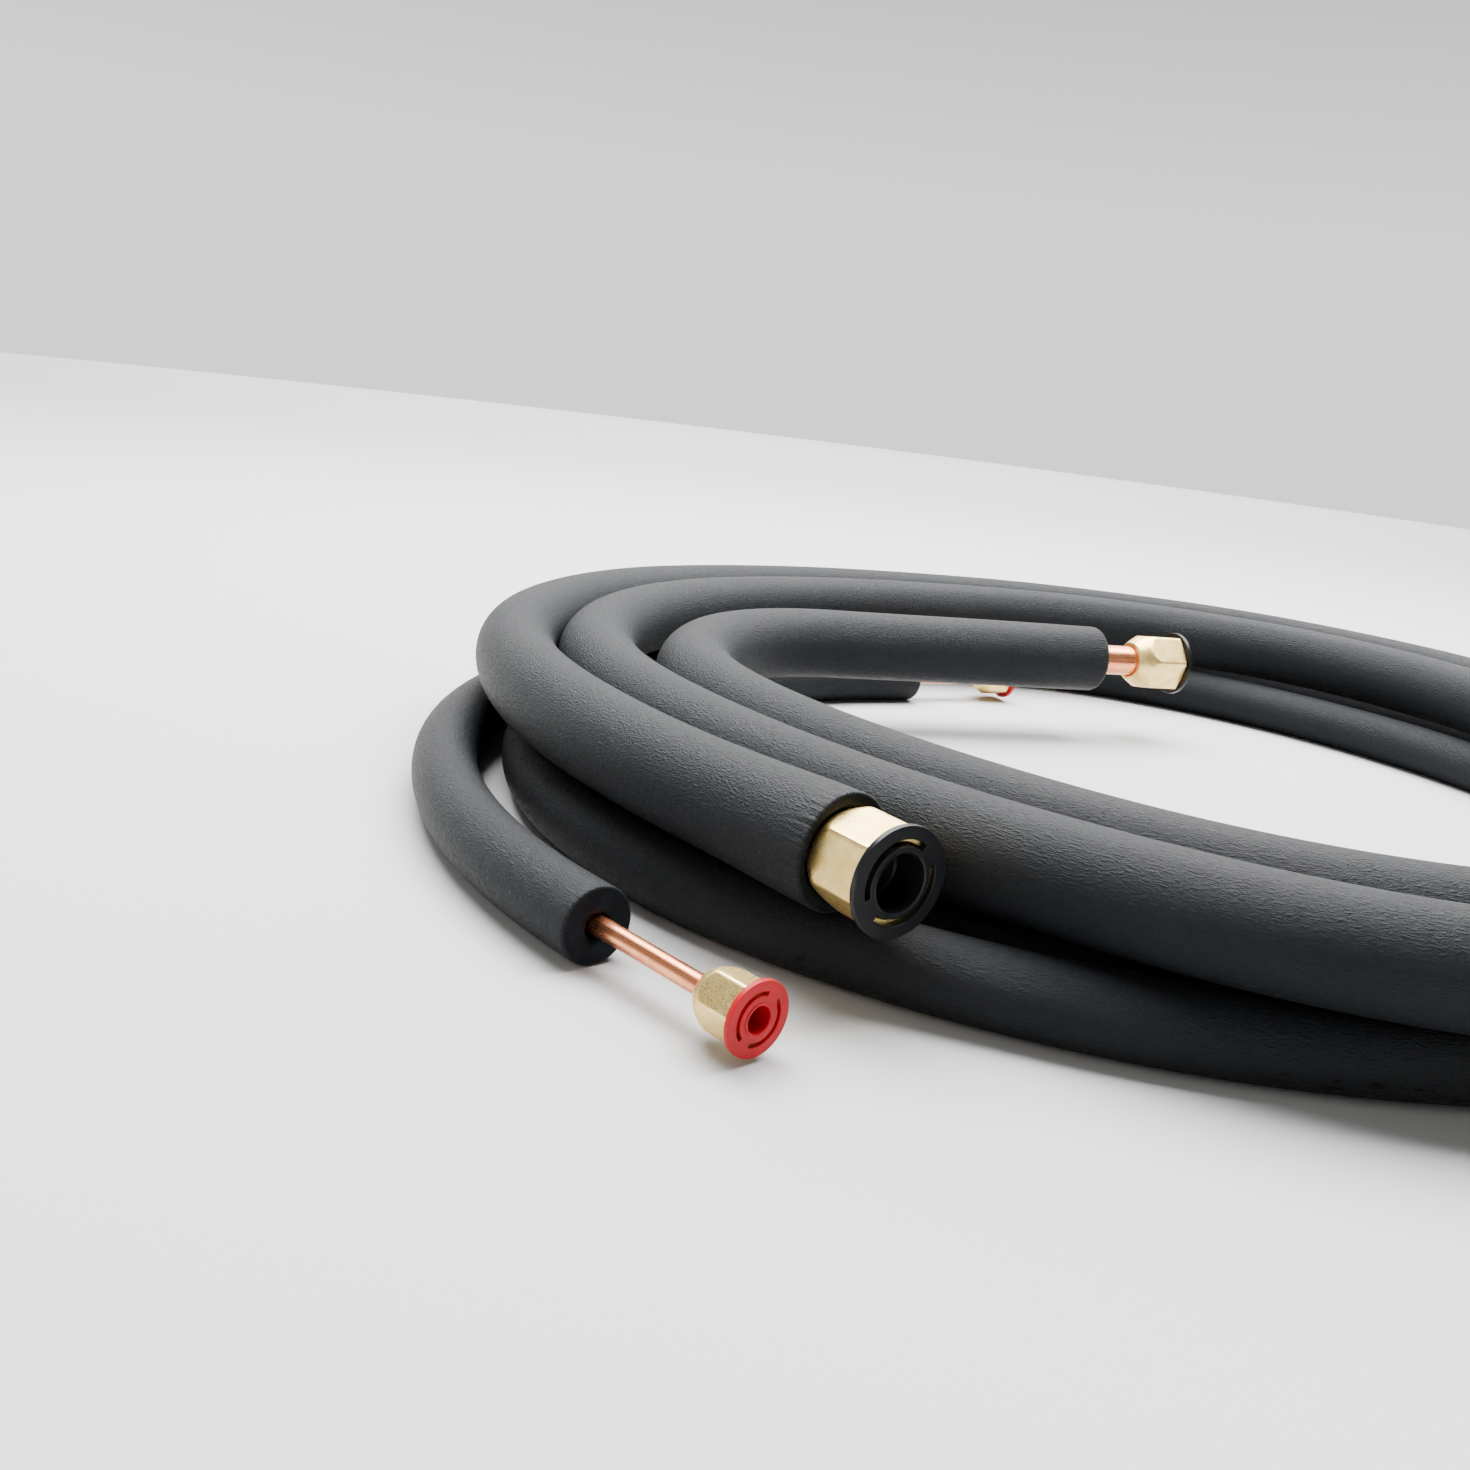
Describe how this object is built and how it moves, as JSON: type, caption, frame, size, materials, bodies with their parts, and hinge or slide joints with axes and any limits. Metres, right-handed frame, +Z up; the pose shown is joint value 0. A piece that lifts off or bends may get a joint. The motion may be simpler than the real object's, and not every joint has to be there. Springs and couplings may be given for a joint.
{
  "type": "mini split line set",
  "caption": "Coiled pair of foam-insulated copper refrigerant lines, a large suction line on a small liquid line, with capped brass flare nuts on the ends.",
  "frame": {"origin": "on the floor, below the middle of the set's bounding box", "axes": "+Z up, square to the flat coil; -Y is the side where the near ends of both lines come out"},
  "size_m": [0.6188, 0.6184, 0.0607],
  "materials": {
    "foam": "charcoal elastomeric foam skin, fine leathery grain",
    "copper": "soft drawn copper, bright satin",
    "nut_brass": "forged brass, satin flats",
    "black_plug": "semi-gloss moulded polyethylene",
    "red_plug": "semi-gloss moulded polyethylene"
  },
  "bodies": {
    "lines": {"suction_insulation": "foam", "suction_tube": "copper", "liquid_insulation": "foam", "liquid_tube": "copper"},
    "suction_nut_near": {"suction_nut_near": "nut_brass"},
    "suction_plug_near": {"suction_plug_near": "black_plug"},
    "suction_nut_far": {"suction_nut_far": "nut_brass"},
    "suction_plug_far": {"suction_plug_far": "black_plug"},
    "liquid_nut_near": {"liquid_nut_near": "nut_brass"},
    "liquid_plug_near": {"liquid_plug_near": "red_plug"},
    "liquid_nut_far": {"liquid_nut_far": "nut_brass"},
    "liquid_plug_far": {"liquid_plug_far": "red_plug"}
  },
  "joints": [
    {"name": "suction_nut_near_turn", "type": "hinge", "parent": "lines", "child": "suction_nut_near", "pos_m": [-0.14699, -0.24619, 0.0432], "axis": [0.6082, -0.7938, 0], "continuous": true},
    {"name": "suction_plug_near_pull", "type": "slide", "parent": "suction_nut_near", "child": "suction_plug_near", "axis": [0.6082, -0.7938, 0], "range_m": [0, 0.02]},
    {"name": "suction_nut_far_turn", "type": "hinge", "parent": "lines", "child": "suction_nut_far", "pos_m": [0.03079, 0.13584, 0.0432], "axis": [0.9402, 0.3405, 0], "continuous": true},
    {"name": "suction_plug_far_pull", "type": "slide", "parent": "suction_nut_far", "child": "suction_plug_far", "axis": [0.9402, 0.3405, 0], "range_m": [0, 0.02]},
    {"name": "liquid_nut_near_turn", "type": "hinge", "parent": "lines", "child": "liquid_nut_near", "pos_m": [-0.17818, -0.28719, 0.0127], "axis": [0.7, -0.7141, 0], "continuous": true},
    {"name": "liquid_plug_near_pull", "type": "slide", "parent": "liquid_nut_near", "child": "liquid_plug_near", "axis": [0.7, -0.7141, 0], "range_m": [0, 0.015]},
    {"name": "liquid_nut_far_turn", "type": "hinge", "parent": "lines", "child": "liquid_nut_far", "pos_m": [-0.04135, 0.18726, 0.0127], "axis": [0.8755, 0.4832, 0], "continuous": true},
    {"name": "liquid_plug_far_pull", "type": "slide", "parent": "liquid_nut_far", "child": "liquid_plug_far", "axis": [0.8755, 0.4832, 0], "range_m": [0, 0.015]}
  ]
}
